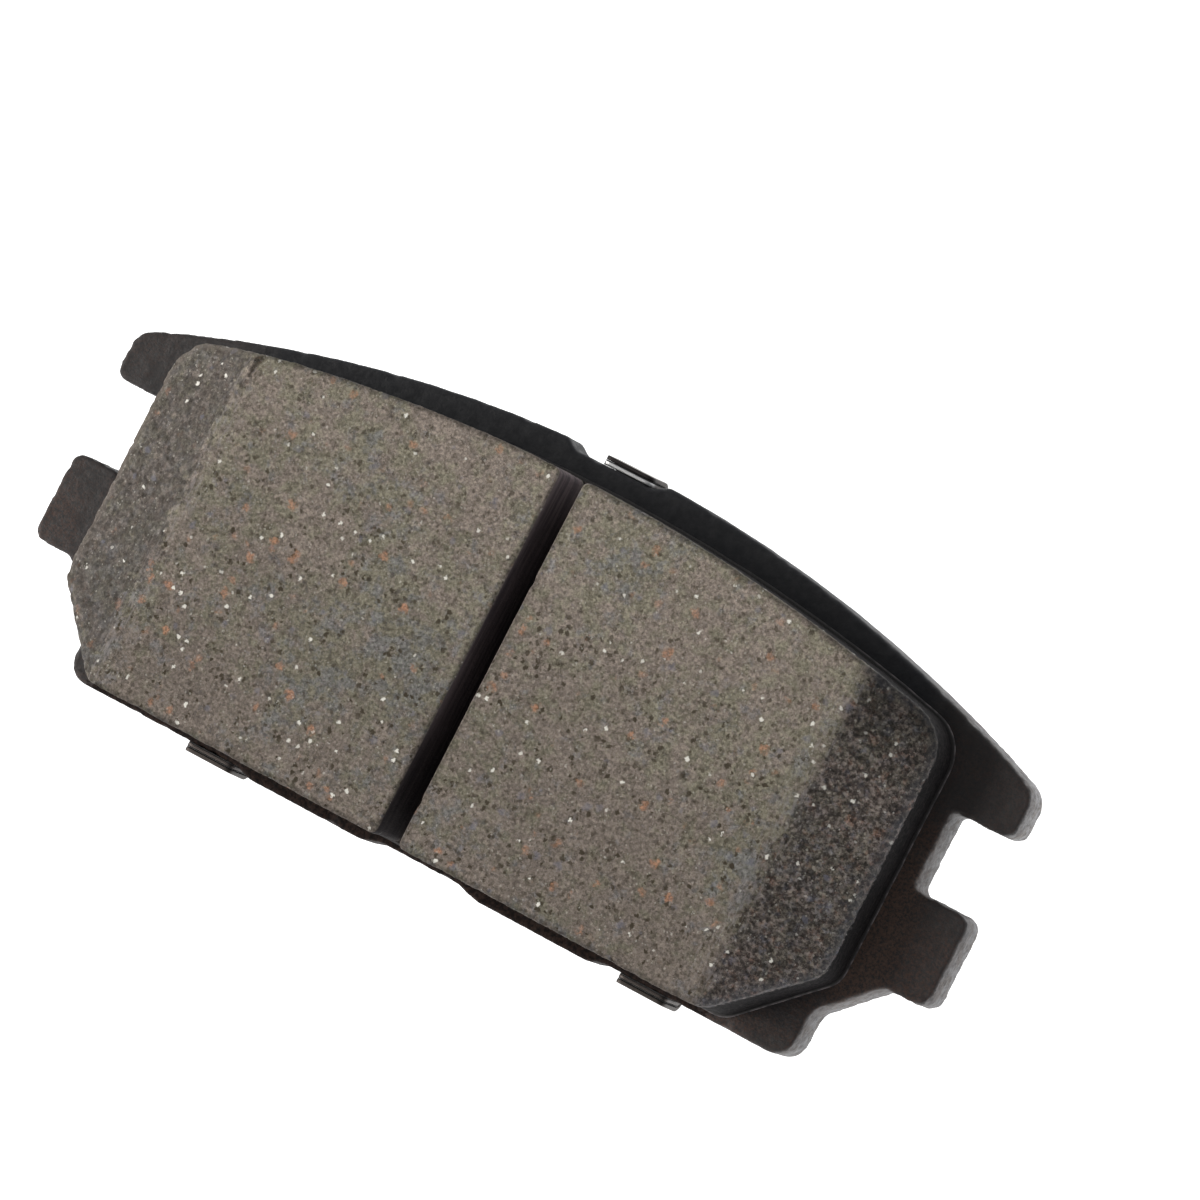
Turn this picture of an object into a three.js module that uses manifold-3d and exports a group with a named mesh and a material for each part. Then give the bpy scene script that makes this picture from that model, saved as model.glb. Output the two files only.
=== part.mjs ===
// A disc brake pad, in millimetres: a stamped steel backing plate, a moulded friction lining in
// two segments, and two clip-on shims on the back.
// +Z points from the shims to the friction face, +Y to the pad's outer arc, +X along its length.
// The origin lies on the back of the outer shim, below the middle of the pad.

import * as THREE from "three";
import { mergeVertices } from "three/addons/utils/BufferGeometryUtils.js";
import Module from "manifold-3d";

const wasm = await Module();
wasm.setup();

// Outlines are drawn with Y measured from the tab seats on the plate's lower edge.

// Backing plate
const HALF_LENGTH = 58;
const PLATE_THICKNESS = 5.5;
const PLATE_EDGE_BREAK = 0.5;
const PLATE_ARC_RADIUS = 153.8;
const PLATE_ARC_TOP = 48.8;
const NOTCH_BOTTOM_X = 50.73;
const NOTCH_LOW_Y = 22.45;
const NOTCH_HIGH_Y = 31.84;
const NOTCH_CORNER = 0.8;
const LOWER_EAR_Y = 11.81;
const EAR_CORNER = 1.4;
const EAR_SHOULDER = 2.8;
const FLANK_CORNER = 2;
const FOOT_X = 46.93;
const FOOT_TOP_Y = 5.88;
const FOOT_CORNER = 2.4;

// Seats and lands on the plate's edges
const LAND_Y = -0.65;
const LAND_OUTER_X = 22;
const LAND_INNER_X = 7.4;
const LAND_RAMP = 2;
const LOWER_RECESS_Y = 0.1;
const LOWER_RECESS_X = 5.1;
const UPPER_SEAT_Y = 47.7;
const UPPER_SEAT_HALF = 5;
const UPPER_RAMP = 1.4;

// Anchor holes, which the underlayer fills
const HOLE_RADIUS = 4.5;
const HOLE_CLEARANCE = 0.1;
const PLUG_RECESS = 0.3;
const HOLE_CENTRES = [[-34, 21], [-14, 25], [14, 25], [34, 21]];

// Lining. It sits a little off the plate's centre, with the upper tab seat.
const LINING_SHIFT = -0.7;
const LINING_HEIGHT = 10.75;
const LINING_HALF = 48.9;
const LINING_ARC_RADIUS = 202.5;
const LINING_ARC_TOP = 45.1;
const LINING_LOW_Y = 1.1;
const LINING_SIDE_LOW_Y = 10.1;
const LINING_LOW_HALF = 39.5;
const LINING_UPPER_CORNER = 5;
const LINING_LOWER_CORNER = 3;
const SLOT_HALF = 1.4;
const SLOT_CORNER = 0.6;
const BEVEL_LENGTH = 10.2;
const BEVEL_DROP = 3.8;
const BOND_THICKNESS = 0.15;
const BOND_FLASH = 0.35;
const UNDERLAYER_THICKNESS = 1.85;

// Shims, as layers counted outwards from the plate. They sit a little off centre in their seats.
const SHIM_SHIFT = 0.75;
const COAT = 0.1;
const CORE = 0.4;
const INNER_SHIM = COAT + CORE + COAT;
const OUTER_SHIM = 0.5;
const TAB_GAP = 0.1;
const BEND_RADIUS = 0.5;
const TAB_HALF_WIDTH = 3.05;
const TAB_SPACING = 28.15;
const TAB_TIP_CORNER = 1.2;
const TAB_BELOW_FACE = 0.3;
const TAB_ROOT = 3;
const SHIM_HALF = 45.5;
const SHIM_LOW_HALF = 39.5;
const SHIM_LOW_Y = 1.2;
const SHIM_SIDE_LOW_Y = 7.2;
const SHIM_ARC_RADIUS = 152;
const SHIM_ARC_TOP = 47;
const SHIM_CORNER = 4;

// Levels along Z
const PLATE_BACK = INNER_SHIM + OUTER_SHIM;
const PLATE_FACE = PLATE_BACK + PLATE_THICKNESS;
const UNDERLAYER_LOW = PLATE_FACE + BOND_THICKNESS;
const FRICTION_LOW = UNDERLAYER_LOW + UNDERLAYER_THICKNESS;
const FRICTION_FACE = PLATE_FACE + LINING_HEIGHT;
const TAB_TIP = PLATE_FACE - TAB_BELOW_FACE;

// Middle of the pad across its width: the tabs stand out equally far past both edges
const MIDDLE_Y = UPPER_SEAT_Y / 2;

// Points along a long arc, round a corner and round a hole
const ARC_STEPS = 16;
const ROUND_STEPS = 5;
const HOLE_STEPS = 28;

// How far a cutting solid reaches past what it cuts
const CLEAR = 5;

// ---- outlines ----

const mirrored = (corners) => corners.map(([x, y, radius]) => [-x, y, radius]).reverse();

// Height at x of an arc centred on x = 0
const arcHeight = (radius, top, x) => top - radius + Math.sqrt(radius * radius - x * x);

// Corners along such an arc, from one x to another
function arcCorners(radius, top, fromX, toX, steps) {
  return Array.from({ length: steps + 1 }, (_, i) => {
    const x = fromX + ((toX - fromX) * i) / steps;
    return [x, arcHeight(radius, top, x)];
  });
}

// Points of one rounded corner between its two neighbours
function roundedCorner(before, [x, y, radius], after) {
  const corner = new THREE.Vector2(x, y);
  const back = new THREE.Vector2(before[0], before[1]).sub(corner).normalize();
  const ahead = new THREE.Vector2(after[0], after[1]).sub(corner).normalize();
  const half = Math.acos(back.dot(ahead)) / 2;
  const turn = -Math.sign(back.cross(ahead)) * (Math.PI - 2 * half);
  const centre = back.clone().add(ahead).setLength(radius / Math.sin(half)).add(corner);
  const start = back.setLength(radius / Math.tan(half)).add(corner).sub(centre);
  return Array.from({ length: ROUND_STEPS + 1 }, (_, i) =>
    start.clone().rotateAround(new THREE.Vector2(), (turn * i) / ROUND_STEPS).add(centre));
}

// A closed outline from corners [x, y, radius]; a corner without a radius stays sharp
function outline(corners) {
  return corners.flatMap((corner, i) => {
    if (!corner[2]) return [new THREE.Vector2(corner[0], corner[1])];
    const before = corners.at(i - 1);
    const after = corners[(i + 1) % corners.length];
    return roundedCorner(before, corner, after);
  });
}

function plateOutline() {
  const lowerEdge = [
    [LOWER_RECESS_X, LOWER_RECESS_Y],
    [LAND_INNER_X, LAND_Y],
    [LAND_OUTER_X, LAND_Y],
    [LAND_OUTER_X + LAND_RAMP, 0],
  ];
  const end = [
    [FOOT_X, 0, FOOT_CORNER],
    [FOOT_X, FOOT_TOP_Y, FLANK_CORNER],
    [FOOT_X + LOWER_EAR_Y - FOOT_TOP_Y, LOWER_EAR_Y, FLANK_CORNER],
    [HALF_LENGTH, LOWER_EAR_Y, EAR_CORNER],
    [HALF_LENGTH, NOTCH_LOW_Y, EAR_CORNER],
    [NOTCH_BOTTOM_X, NOTCH_LOW_Y, NOTCH_CORNER],
    [NOTCH_BOTTOM_X, NOTCH_HIGH_Y, NOTCH_CORNER],
    [HALF_LENGTH, NOTCH_HIGH_Y, EAR_CORNER],
    [HALF_LENGTH, arcHeight(PLATE_ARC_RADIUS, PLATE_ARC_TOP, HALF_LENGTH), EAR_SHOULDER],
  ];
  const shoulder = HALF_LENGTH - 2 * EAR_SHOULDER;
  const rampTop = UPPER_SEAT_HALF + UPPER_RAMP;
  const arcBetween = (fromX, toX) =>
    arcCorners(PLATE_ARC_RADIUS, PLATE_ARC_TOP, fromX, toX, ARC_STEPS / 2);
  return outline([
    ...mirrored(lowerEdge),
    ...lowerEdge,
    ...end,
    ...arcBetween(shoulder, LINING_SHIFT + rampTop),
    [LINING_SHIFT + UPPER_SEAT_HALF, UPPER_SEAT_Y],
    [LINING_SHIFT - UPPER_SEAT_HALF, UPPER_SEAT_Y],
    ...arcBetween(LINING_SHIFT - rampTop, -shoulder),
    ...mirrored(end),
  ]);
}

// Corners of the lining's right half from the lower edge round to the arc, about its own centre
function liningEnd(grow) {
  const half = LINING_HALF + grow;
  const top = LINING_ARC_TOP + grow;
  return [
    [LINING_LOW_HALF, LINING_LOW_Y - grow, LINING_LOWER_CORNER],
    [half, LINING_SIDE_LOW_Y, LINING_LOWER_CORNER],
    [half, arcHeight(LINING_ARC_RADIUS, top, half), LINING_UPPER_CORNER],
  ];
}

function liningOutline(grow) {
  const end = liningEnd(grow);
  const shoulder = LINING_HALF - 2 * LINING_UPPER_CORNER;
  const top = LINING_ARC_TOP + grow;
  return outline([
    ...end,
    ...arcCorners(LINING_ARC_RADIUS, top, shoulder, -shoulder, ARC_STEPS),
    ...mirrored(end),
  ]);
}

function segmentOutline() {
  const shoulder = LINING_HALF - 2 * LINING_UPPER_CORNER;
  const arc = arcCorners(LINING_ARC_RADIUS, LINING_ARC_TOP, shoulder, SLOT_HALF, ARC_STEPS / 2);
  return outline([
    [SLOT_HALF, LINING_LOW_Y, SLOT_CORNER],
    ...liningEnd(0),
    ...arc.slice(0, -1),
    [...arc.at(-1), SLOT_CORNER],
  ]);
}

function shimOutline() {
  const end = [
    [SHIM_LOW_HALF, SHIM_LOW_Y, SHIM_CORNER],
    [SHIM_HALF, SHIM_SIDE_LOW_Y, SHIM_CORNER],
    [SHIM_HALF, arcHeight(SHIM_ARC_RADIUS, SHIM_ARC_TOP, SHIM_HALF), SHIM_CORNER],
  ];
  const shoulder = SHIM_HALF - 2 * SHIM_CORNER;
  return outline([
    ...end,
    ...arcCorners(SHIM_ARC_RADIUS, SHIM_ARC_TOP, shoulder, -shoulder, ARC_STEPS),
    ...mirrored(end),
  ]);
}

function circleOutline([x, y], radius) {
  return Array.from({ length: HOLE_STEPS }, (_, i) => {
    const angle = (2 * Math.PI * i) / HOLE_STEPS;
    return new THREE.Vector2(x + radius * Math.cos(angle), y + radius * Math.sin(angle));
  });
}

// ---- solids ----

// A slab between two levels, with its edges broken by edgeBreak
function slab(points, low, high, holes = [], edgeBreak = 0) {
  const shape = new THREE.Shape(points);
  shape.holes = holes.map((hole) => new THREE.Path(hole));
  const geometry = new THREE.ExtrudeGeometry(shape, {
    depth: high - low - 2 * edgeBreak,
    bevelEnabled: edgeBreak > 0,
    bevelThickness: edgeBreak,
    bevelSize: edgeBreak,
    bevelOffset: -edgeBreak,
    bevelSegments: 1,
  });
  return geometry.translate(0, 0, low + edgeBreak);
}

// A prism of a profile drawn in X and Z, running along Y
function prismAlongY(points, fromY, toY) {
  return slab(points, -toY, -fromY).rotateX(Math.PI / 2);
}

// A prism of a profile drawn in Y and Z, running along X
function prismAlongX(points, fromX, toX) {
  return slab(points, fromX, toX).rotateZ(Math.PI / 2).rotateY(Math.PI / 2);
}

function solid(geometry) {
  const bare = geometry.clone();
  bare.deleteAttribute("normal");
  bare.deleteAttribute("uv");
  const merged = mergeVertices(bare);
  return new wasm.Manifold(new wasm.Mesh({
    numProp: 3,
    vertProperties: new Float32Array(merged.attributes.position.array),
    triVerts: new Uint32Array(merged.index.array),
  }));
}

function geometryOf(manifold) {
  const mesh = manifold.getMesh();
  const geometry = new THREE.BufferGeometry();
  geometry.setAttribute("position", new THREE.BufferAttribute(mesh.vertProperties, 3));
  geometry.setIndex(new THREE.BufferAttribute(mesh.triVerts, 1));
  geometry.computeVertexNormals();
  return geometry;
}

function backingPlate() {
  const holes = HOLE_CENTRES.map((centre) => circleOutline(centre, HOLE_RADIUS).reverse());
  return slab(plateOutline(), PLATE_BACK, PLATE_FACE, holes, PLATE_EDGE_BREAK);
}

// Hole centres seen from the lining's own centre
const plugCentres = () => HOLE_CENTRES.map(([x, y]) => [x - LINING_SHIFT, y]);

function bondLayer() {
  const holes = plugCentres().map((centre) => circleOutline(centre, HOLE_RADIUS).reverse());
  return slab(liningOutline(BOND_FLASH), PLATE_FACE, UNDERLAYER_LOW, holes);
}

function underlayer() {
  let body = solid(slab(liningOutline(0), UNDERLAYER_LOW, FRICTION_LOW));
  for (const centre of plugCentres()) {
    const rim = circleOutline(centre, HOLE_RADIUS - HOLE_CLEARANCE);
    const plugHigh = (UNDERLAYER_LOW + FRICTION_LOW) / 2;
    body = body.add(solid(slab(rim, PLATE_BACK + PLUG_RECESS, plugHigh)));
  }
  return geometryOf(body);
}

// The right-hand segment, with its outer end bevelled towards the plate
function rightSegment() {
  const endX = LINING_HALF + CLEAR;
  const slope = BEVEL_DROP / BEVEL_LENGTH;
  const profile = [
    new THREE.Vector2(0, 0),
    new THREE.Vector2(endX, 0),
    new THREE.Vector2(endX, FRICTION_FACE - BEVEL_DROP - slope * CLEAR),
    new THREE.Vector2(LINING_HALF - BEVEL_LENGTH, FRICTION_FACE),
    new THREE.Vector2(0, FRICTION_FACE),
  ];
  const side = solid(prismAlongY(profile, -CLEAR, LINING_ARC_TOP + CLEAR));
  return solid(slab(segmentOutline(), FRICTION_LOW, FRICTION_FACE + CLEAR)).intersect(side);
}

// Section of a tab in Y and Z, for a shim layer between two distances from the plate. It runs
// along the plate's back, round its edge at seatY, and up to the tab's tip; side is 1 or -1.
function tabSection(near, far, seatY, side, gap) {
  const centreY = seatY + side * (gap - BEND_RADIUS);
  const centreZ = PLATE_BACK + BEND_RADIUS;
  const rootY = centreY - side * TAB_ROOT;
  const bend = (radius) => Array.from({ length: ROUND_STEPS + 1 }, (_, i) => {
    const angle = (Math.PI / 2) * (i / ROUND_STEPS);
    const y = centreY + side * radius * Math.sin(angle);
    return new THREE.Vector2(y, centreZ - radius * Math.cos(angle));
  });
  const legY = (distance) => seatY + side * (gap + distance);
  return [
    new THREE.Vector2(rootY, PLATE_BACK - near),
    ...bend(BEND_RADIUS + near),
    new THREE.Vector2(legY(near), TAB_TIP),
    new THREE.Vector2(legY(far), TAB_TIP),
    ...bend(BEND_RADIUS + far).reverse(),
    new THREE.Vector2(rootY, PLATE_BACK - far),
  ];
}

// A prism that rounds the two corners of a tab's tip
function tipTrim(x) {
  const corners = outline([
    [x - TAB_HALF_WIDTH, -CLEAR],
    [x + TAB_HALF_WIDTH, -CLEAR],
    [x + TAB_HALF_WIDTH, TAB_TIP, TAB_TIP_CORNER],
    [x - TAB_HALF_WIDTH, TAB_TIP, TAB_TIP_CORNER],
  ]);
  return solid(prismAlongY(corners, -CLEAR, UPPER_SEAT_Y + CLEAR));
}

// One layer of a shim: its flat sheet and its three tabs
function shimLayer(near, far, gap) {
  let layer = solid(slab(shimOutline(), PLATE_BACK - far, PLATE_BACK - near));
  const tabs = [[-TAB_SPACING, 0, -1], [TAB_SPACING, 0, -1], [0, UPPER_SEAT_Y, 1]];
  for (const [x, seatY, side] of tabs) {
    const section = tabSection(near, far, seatY, side, gap);
    const strip = prismAlongX(section, x - TAB_HALF_WIDTH, x + TAB_HALF_WIDTH);
    layer = layer.add(solid(strip).intersect(tipTrim(x)));
  }
  return geometryOf(layer);
}

// ---- assembly ----

function addPiece(group, name, geometry, color, roughness, metalness = 0) {
  const material = new THREE.MeshStandardMaterial({ color, roughness, metalness });
  const mesh = new THREE.Mesh(geometry, material);
  mesh.name = name;
  group.add(mesh);
}

const plate = new THREE.Group();
addPiece(plate, "backing_plate", backingPlate(), 0x1c1a19, 0.45, 0.2);

const lining = new THREE.Group();
lining.position.x = LINING_SHIFT;
const segment = rightSegment();
addPiece(lining, "bond_layer", bondLayer(), 0x8b8780, 0.6);
addPiece(lining, "underlayer", underlayer(), 0x4a443e, 0.9);
addPiece(lining, "friction_segment_left", geometryOf(segment.mirror([1, 0, 0])), 0x716a60, 0.9);
addPiece(lining, "friction_segment_right", geometryOf(segment), 0x716a60, 0.9);

const shims = new THREE.Group();
shims.position.x = SHIM_SHIFT;
const coreFar = COAT + CORE;
addPiece(shims, "inner_shim_front_coat", shimLayer(0, COAT, TAB_GAP), 0x1f2021, 0.85);
addPiece(shims, "inner_shim_core", shimLayer(COAT, coreFar, TAB_GAP), 0xb4b6b8, 0.35, 1);
addPiece(shims, "inner_shim_back_coat", shimLayer(coreFar, INNER_SHIM, TAB_GAP), 0x1f2021, 0.85);
addPiece(shims, "outer_shim", shimLayer(INNER_SHIM, PLATE_BACK, 2 * TAB_GAP), 0xc2c3c4, 0.3, 1);

const pad = new THREE.Group();
pad.position.y = -MIDDLE_Y;
pad.add(plate, lining, shims);

export default pad;
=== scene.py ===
"""A disc brake pad on a pale light table: the looks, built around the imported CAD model."""

import math

import bpy
import numpy as np
from mathutils import Matrix, Vector, kdtree, noise
from mathutils.geometry import delaunay_2d_cdt


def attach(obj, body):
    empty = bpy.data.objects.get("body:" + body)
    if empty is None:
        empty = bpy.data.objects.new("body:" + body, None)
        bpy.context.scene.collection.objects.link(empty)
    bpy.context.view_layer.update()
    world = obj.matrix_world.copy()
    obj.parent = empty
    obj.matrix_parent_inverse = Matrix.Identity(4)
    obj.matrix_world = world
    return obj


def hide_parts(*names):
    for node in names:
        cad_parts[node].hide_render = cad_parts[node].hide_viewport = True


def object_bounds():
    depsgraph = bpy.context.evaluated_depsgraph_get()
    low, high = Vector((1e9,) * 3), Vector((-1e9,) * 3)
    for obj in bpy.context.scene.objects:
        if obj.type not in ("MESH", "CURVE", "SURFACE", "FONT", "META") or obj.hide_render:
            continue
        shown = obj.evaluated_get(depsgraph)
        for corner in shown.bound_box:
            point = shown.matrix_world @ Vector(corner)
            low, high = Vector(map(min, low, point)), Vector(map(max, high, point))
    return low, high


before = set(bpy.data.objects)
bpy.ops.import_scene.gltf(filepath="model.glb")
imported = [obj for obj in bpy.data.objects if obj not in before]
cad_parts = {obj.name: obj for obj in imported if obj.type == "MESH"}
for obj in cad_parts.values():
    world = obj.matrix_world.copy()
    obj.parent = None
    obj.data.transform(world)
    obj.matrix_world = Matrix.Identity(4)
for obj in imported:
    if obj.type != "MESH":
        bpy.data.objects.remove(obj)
cad_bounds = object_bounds()

# Shapes are worked out in millimetres and written to the meshes in metres.
MM = 0.001
SAME = 0.002

# Camera: a long lens above the pad, a little to its right
CAMERA_AIM = (4.74, 10.58, 6.6)
CAMERA_DISTANCE = 766.2
CAMERA_AZIMUTH = 1.416
CAMERA_TILT = 18.955
CAMERA_ROLL = 25.885
CAMERA_LENS = 212.63

# Light
ROOM_TINT = (0.94, 0.97, 1.0)
LAMP_TINT = (1.0, 0.975, 0.94)
WALL_TOP = 0.7
WALL_GLOW = 0.7
CEILING_GLOW = 0.20

# Lamps: name, direction from the pad, distance and size in metres, power in watts
LAMPS = (
    ("key", (-0.80, -0.22, 0.62), 0.9, (0.7, 0.7), 9.4),
    ("fill_top", (0.15, 0.85, 0.60), 1.0, (0.8, 0.5), 1.0),
    ("fill_bottom", (0.0, -0.85, 0.60), 1.0, (0.8, 0.5), 2.4),
)

# Floor
FLOOR_HALF = 1500
FLOOR_ROWS = 12
FLOOR_GAP = 0.05

# Meshes
OUTLINE_STEP = 0.3
OUTLINE_SMOOTH = 0.25
WALL_STEP = 0.5
ROUND_STEPS = 4
SUPPORT = 0.12
SMALL_ROLL = 0.03

# Backing plate: a sheared blank whose front edge rolls over
PLATE_FRONT_ROLL = 0.42
PLATE_BACK_ROLL = 0.3
PLATE_SPACING = 0.7
PLATE_WAVE = 0.014
TEAR_DEPTH = 0.03
TEAR_MORE_AT_ENDS = 0.07
NICKED_SHARE = 0.03
NICKED_RADII = (0.3, 0.9)
NICKED_DEPTH = 0.2

# Where the plate's coat changes, from and to. OUT counts both ways from the middle, DOWN and LEFT one way.
TORN_OUT = (44, 48)
EAR_OUT = (40, 49)
EAR_DOWN = (18, 22)
# Beside the lining's right end: reddish dust, with painted light that lifts the shade there.
BESIDE_X = (47, 48.5)
BESIDE_END_X = (51, 54)
BESIDE_Y = (-20, -12)
BESIDE_END_Y = (-2, 8)
SOOTY_DOWN = (21.0, 22.6)
SOOTY_END_X = (32, 42)
FOOT_LEFT = (42, 45)
FOOT_CLEANER = 0.7
# Where the painted reflection on the plate's right-hand edges begins, along X.
SHEARED_X = (25, 35)

# Lining
FACE_EDGE = 0.32
FACE_SPACING = 0.19
BASE_SPACING = 2.5
BEVEL_BREAK = 0.7
BEVEL_WANDER = 0.35
BEVEL_BLEND = (-1.2, 2.0)
BEVEL_SAG = 0.30
BEVEL_SAG_REACH = 1.3
GRIT = 0.012
BEVEL_GRIT = 0.028
FACE_WAVE = 0.012
SIDE_WAVE = 0.06
SIDE_GRIT = 0.07
SAWN_CALM = 0.75
PIT_SHARE = 0.012
PIT_RADII = (0.15, 0.30)
PIT_DEPTHS = (0.2, 0.5)
CHIP_SHARE = 0.006
CHIP_MORE_AT_RIM = 0.030
CHIP_RADII = (0.25, 0.80)
CHIP_DEPTH = 0.22
NICK_RUN = (-0.3, -2.6, 0.3)
NICK_RADII = (0.75, 0.3)
NICK_DEPTH = 0.32
NICK_STEPS = 6

# Underlayer and bond
UNDERLAYER_SPACING = 1.5
PIN_SPACING = 0.8
PIN_ROLL = 0.2
BOND_SPACING = 2.0
BOND_WANDER = 0.04
BOND_LIP_X = (28, 42)

# Shims
SHIM_BEND_RADIUS = 0.5
COAT_ROLL = 0.03
CORE_ROLL = 0.08
OUTER_ROLL = 0.12
TAB_TIP_CORNER = 0.4
GRIP = 0.08
TAB_TIP_STEPS = 6
SHIM_SPACING = 1.6
TAB_SPACING = 0.28
TAB_LEG_FROM = 1.5

# How far apart the textures of neighbouring seeds lie
SEED_SHIFT = 31.7

# Colours of the lining, in linear light
OLIVE, MAUVE, SLATE = (0.162, 0.149, 0.112), (0.183, 0.153, 0.131), (0.140, 0.146, 0.158)
BROWN_GRAIN, PALE_GRAIN = (0.070, 0.057, 0.038), (0.290, 0.275, 0.245)
# The pore colour is painted shade: the dark inside the pores and the dented pits.
PORE_SHADE = (0.046, 0.037, 0.025)
DULL_COPPER, BRIGHT_COPPER = (0.250, 0.120, 0.070), (0.450, 0.240, 0.148)
RAW, RUSTY, BLUISH = (0.156, 0.130, 0.126), (0.200, 0.105, 0.074), (0.112, 0.122, 0.156)
RUBBED_DARK, RUBBED_PALE = (0.082, 0.077, 0.067), (0.192, 0.183, 0.175)
BRUSHED = (0.270, 0.245, 0.240)
LILAC = (0.170, 0.174, 0.225)
SPECK, GLINT = (0.46, 0.44, 0.39), (0.70, 0.68, 0.62)
# Painted sheen on the bevels' rounded rim: bluish on the right segment, brownish on the rubbed left one.
RIM_SHEEN_BLUE, RIM_SHEEN_BROWN = (0.085, 0.089, 0.102), (0.140, 0.116, 0.098)
SAWN_DARK, SAWN_PALE = (0.042, 0.034, 0.037), (0.086, 0.069, 0.071)
SIDE_BLACK, SIDE_DUSTY = (0.005, 0.0045, 0.005), (0.016, 0.0135, 0.014)

# Colours of the plate, underlayer, bond and rubber
COAT, EAR_COAT = (0.0098, 0.0102, 0.0128), (0.0166, 0.0152, 0.0156)
# The colour beside the lining's right end is reddish dust with painted light, lifting the shade the lining
# casts there.
DUST, BESIDE_DUST_AND_LIGHT, FLECK = (0.050, 0.0260, 0.0190), (0.070, 0.042, 0.031), (0.060, 0.056, 0.058)
# A painted reflection of the bright surroundings on the plate's right-hand edges, coloured like steel in
# pale and dull mottles.
EDGE_REFLECTION, EDGE_REFLECTION_DULL = (0.220, 0.217, 0.220), (0.150, 0.134, 0.124)
SOOT, SMEARED_SOOT = (0.0055, 0.0036, 0.0034), (0.024, 0.014, 0.011)
UNDERLAYER_DARK, UNDERLAYER_PALE = (0.050, 0.042, 0.042), (0.090, 0.074, 0.068)
# The pale lip colour is a painted highlight along the bond bead's edge.
RESIN, LIP_DARK, LIP_HIGHLIGHT = (0.012, 0.010, 0.010), (0.030, 0.026, 0.028), (0.150, 0.130, 0.134)
RUBBER, RUBBER_BLOOM = (0.016, 0.016, 0.017), (0.036, 0.035, 0.035)
SHEET_STAIN = (0.12, 0.10, 0.09)

# Shim sheets: flat face, sheared edge and worn tab tip
STEEL = (0.52, 0.51, 0.50), (0.066, 0.057, 0.053), (0.62, 0.62, 0.62)
STAINLESS = (0.44, 0.42, 0.40), (0.062, 0.054, 0.050), (0.040, 0.036, 0.035)


# ---- outlines and levels, read from the frame ----


def cad_points(node):
    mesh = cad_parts[node].data
    points = np.empty(len(mesh.vertices) * 3)
    mesh.vertices.foreach_get("co", points)
    return points.reshape(-1, 3) / MM


def levels(node):
    """The heights at which a CAD node has corners, lowest first."""
    return sorted(set(np.round(cad_points(node)[:, 2], 3)))


def signed_area(loop):
    after = np.roll(loop, -1, axis=0)
    return (loop[:, 0] * after[:, 1] - loop[:, 1] * after[:, 0]).sum() / 2


def chained(edges):
    """Closed loops of points from their edges."""
    neighbours = {}
    for a, b in edges:
        neighbours.setdefault(a, []).append(b)
        neighbours.setdefault(b, []).append(a)
    loops = []
    while neighbours:
        start = next(iter(neighbours))
        loop, before, here = [start], start, neighbours[start][0]
        while here != start:
            loop.append(here)
            a, b = neighbours[here]
            before, here = here, (b if a == before else a)
        for point in loop:
            del neighbours[point]
        loops.append(np.array(loop))
    return loops


def outlines(node, level):
    """The outlines of a CAD node at a level: the outer one anticlockwise, then its holes clockwise."""
    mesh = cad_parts[node].data
    mesh.calc_loop_triangles()
    points = np.round(cad_points(node), 3)
    edges = {}
    for triangle in mesh.loop_triangles:
        corners = [points[i] for i in triangle.vertices]
        here = [abs(corner[2] - level) < SAME for corner in corners]
        for i in range(3):
            j = (i + 1) % 3
            if here[i] and here[j]:
                edge = tuple(sorted((tuple(corners[i][:2]), tuple(corners[j][:2]))))
                edges.setdefault(edge, []).append(all(here))
    rims = [edge for edge, in_plane in edges.items() if not all(in_plane)]
    loops = sorted(chained(rims), key=lambda loop: -abs(signed_area(loop)))
    turned = [loop if signed_area(loop) > 0 else loop[::-1] for loop in loops]
    return turned[:1] + [loop[::-1] for loop in turned[1:]]


def resampled(loop, step=OUTLINE_STEP, smooth=OUTLINE_SMOOTH):
    """The loop at equal steps, with its facets smoothed away."""
    closed = np.vstack([loop, loop[:1]])
    along = np.r_[0, np.cumsum(np.linalg.norm(np.diff(closed, axis=0), axis=1))]
    count = int(round(along[-1] / step))
    at = np.arange(count) * along[-1] / count
    points = np.stack([np.interp(at, along, closed[:, i]) for i in (0, 1)], axis=1)
    offsets = range(-int(3 * smooth / step) - 1, int(3 * smooth / step) + 2)
    weights = [math.exp(-0.5 * (offset * step / smooth) ** 2) for offset in offsets]
    spread = sum(w * np.roll(points, offset, axis=0) for w, offset in zip(weights, offsets))
    return spread / sum(weights)


def outward(loop):
    along = np.roll(loop, -1, axis=0) - np.roll(loop, 1, axis=0)
    across = np.stack([along[:, 1], -along[:, 0]], axis=1)
    return across / np.linalg.norm(across, axis=1, keepdims=True)


# ---- meshes ----


def ripple(points, size, seed, octaves=1):
    """Smooth noise about -1 to 1 at each point, with features of that size."""
    shift = Vector((17.3, -9.1, 5.7)) * seed
    return np.array([noise.fractal(Vector(p) / size + shift, 1.0, 2.0, octaves) for p in points])


def smoothstep(low, high, value):
    t = np.clip((value - low) / (high - low), 0, 1)
    return t * t * (3 - 2 * t)


def inside(points, loops):
    x, y = points[:, 0], points[:, 1]
    odd = np.zeros(len(points), bool)
    for loop in loops:
        for (x0, y0), (x1, y1) in zip(loop, np.roll(loop, -1, axis=0)):
            if y0 != y1:
                crosses = (y0 > y) != (y1 > y)
                odd ^= crosses & (x < x0 + (x1 - x0) * (y - y0) / (y1 - y0))
    return odd


def distances(points, loops):
    """How far each point is from the nearest point of the loops."""
    rims = np.vstack(loops)
    tree = kdtree.KDTree(len(rims))
    for i, (x, y) in enumerate(rims):
        tree.insert((x, y, 0), i)
    tree.balance()
    return np.array([tree.find((x, y, 0))[2] for x, y in points])


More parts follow.
